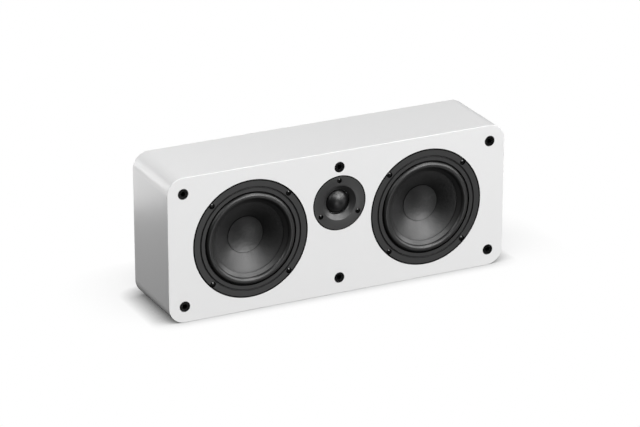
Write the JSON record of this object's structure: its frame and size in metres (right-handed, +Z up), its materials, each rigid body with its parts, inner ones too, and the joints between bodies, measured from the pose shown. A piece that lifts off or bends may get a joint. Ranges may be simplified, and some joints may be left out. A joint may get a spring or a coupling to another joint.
{
  "type": "wall speaker",
  "caption": "White lacquered on-wall loudspeaker cabinet with rounded long edges, black cone woofers either side of a dome tweeter, grille sockets and a recessed wire terminal.",
  "frame": {"origin": "under the middle of the whole, on the surface that the speaker stands on", "axes": "+X to the right as seen from the front, +Y from the front to the back, +Z up"},
  "size_m": [0.44, 0.1046, 0.18],
  "materials": {
    "white_lacquer": "satin white lacquer over fibreboard",
    "fibreboard": "raw fibreboard",
    "chassis_black": "cast, satin black paint",
    "rubber_black": "matte black rubber",
    "foam_black": "closed-cell foam",
    "cone_black": "coated pulp, matte",
    "spider_cloth": "resin-treated woven cloth",
    "copper_wire": "enamelled copper wire",
    "zinc_steel": "zinc-plated steel",
    "ferrite": "sintered ferrite",
    "tab_brass": "tinned brass",
    "fibre_board": "laminated fibre board",
    "faceplate_black": "moulded, satin black",
    "dome_silk": "coated silk",
    "screw_black": "black oxide steel",
    "cup_black": "moulded, fine texture",
    "knob_red": "tinted plastic",
    "knob_black": "tinted plastic",
    "stud_gold": "gold-plated brass",
    "board_green": "laminate with solder mask",
    "capacitor_yellow": "polyester film wrap",
    "resistor_white": "cement-filled ceramic",
    "wadding_white": "polyester wadding",
    "lead_red": "soft wire insulation",
    "lead_black": "soft wire insulation"
  },
  "bodies": {
    "root": {"cabinet_shell": "white_lacquer", "rear_panel": "white_lacquer", "brace_left": "fibreboard", "brace_right": "fibreboard", "wadding_left": "wadding_white", "wadding_right": "wadding_white", "woofer_screws": "screw_black", "tweeter_faceplate": "faceplate_black", "tweeter_top_plate": "zinc_steel", "tweeter_magnet": "ferrite", "tweeter_yoke": "zinc_steel", "tweeter_rear_chamber": "cup_black", "tweeter_screws": "screw_black", "driver_terminal_tabs": "tab_brass", "grille_sockets": "rubber_black", "terminal_cup": "cup_black", "terminal_cup_screws": "screw_black", "negative_stud": "stud_gold", "positive_stud": "stud_gold", "post_nuts": "zinc_steel", "solder_tags": "tab_brass", "crossover_board": "board_green", "crossover_standoffs": "zinc_steel", "crossover_screws": "zinc_steel", "crossover_coils": "copper_wire", "crossover_capacitors": "capacitor_yellow", "crossover_resistor": "resistor_white", "keyhole_plates": "zinc_steel", "hanger_screws": "zinc_steel", "rear_bumpers": "rubber_black", "woofer_left_chassis": "chassis_black", "woofer_left_gasket": "foam_black", "woofer_left_surround": "rubber_black", "woofer_left_spider": "spider_cloth", "woofer_left_top_plate": "zinc_steel", "woofer_left_magnet": "ferrite", "woofer_left_yoke": "zinc_steel", "woofer_left_terminal_board": "fibre_board", "woofer_right_chassis": "chassis_black", "woofer_right_gasket": "foam_black", "woofer_right_surround": "rubber_black", "woofer_right_spider": "spider_cloth", "woofer_right_top_plate": "zinc_steel", "woofer_right_magnet": "ferrite", "woofer_right_yoke": "zinc_steel", "woofer_right_terminal_board": "fibre_board", "positive_leads": "lead_red", "negative_leads": "lead_black"},
    "left_cone": {"woofer_left_cone": "cone_black", "woofer_left_dust_cap": "cone_black", "woofer_left_voice_coil": "copper_wire"},
    "right_cone": {"woofer_right_cone": "cone_black", "woofer_right_dust_cap": "cone_black", "woofer_right_voice_coil": "copper_wire"},
    "tweeter_diaphragm": {"tweeter_dome": "dome_silk", "tweeter_voice_coil": "copper_wire"},
    "negative_clamp": {"negative_clamp_washer": "stud_gold"},
    "positive_clamp": {"positive_clamp_washer": "stud_gold"},
    "negative_grip": {"negative_knob": "knob_black"},
    "positive_grip": {"positive_knob": "knob_red"}
  },
  "joints": [
    {"name": "left_cone_travel", "type": "slide", "parent": "root", "child": "left_cone", "axis": [0, -1, 0], "range_m": [-0.003, 0.003], "stiffness_N_per_m": 1000, "deforming": ["woofer_left_surround", "woofer_left_spider"]},
    {"name": "right_cone_travel", "type": "slide", "parent": "root", "child": "right_cone", "axis": [0, -1, 0], "range_m": [-0.003, 0.003], "stiffness_N_per_m": 1000, "deforming": ["woofer_right_surround", "woofer_right_spider"]},
    {"name": "dome_travel", "type": "slide", "parent": "root", "child": "tweeter_diaphragm", "axis": [0, -1, 0], "range_m": [-0.0003, 0.0003], "stiffness_N_per_m": 2000, "deforming": ["tweeter_dome"]},
    {"name": "negative_clamp_slide", "type": "slide", "parent": "root", "child": "negative_clamp", "axis": [0, 1, 0], "range_m": [0, 0.0041]},
    {"name": "negative_knob_turn", "type": "hinge", "parent": "negative_clamp", "child": "negative_grip", "pos_m": [-0.00953, 0.03985, 0.05], "axis": [0, 1, 0], "range_deg": [0, 1440]},
    {"name": "positive_clamp_slide", "type": "slide", "parent": "root", "child": "positive_clamp", "axis": [0, 1, 0], "range_m": [0, 0.0041]},
    {"name": "positive_knob_turn", "type": "hinge", "parent": "positive_clamp", "child": "positive_grip", "pos_m": [0.00953, 0.03985, 0.05], "axis": [0, 1, 0], "range_deg": [0, 1440]}
  ],
  "couplings": [
    {"joint": "negative_clamp_slide", "follows": "negative_knob_turn", "m_per_rad": 0.00015915},
    {"joint": "positive_clamp_slide", "follows": "positive_knob_turn", "m_per_rad": 0.00015915}
  ]
}
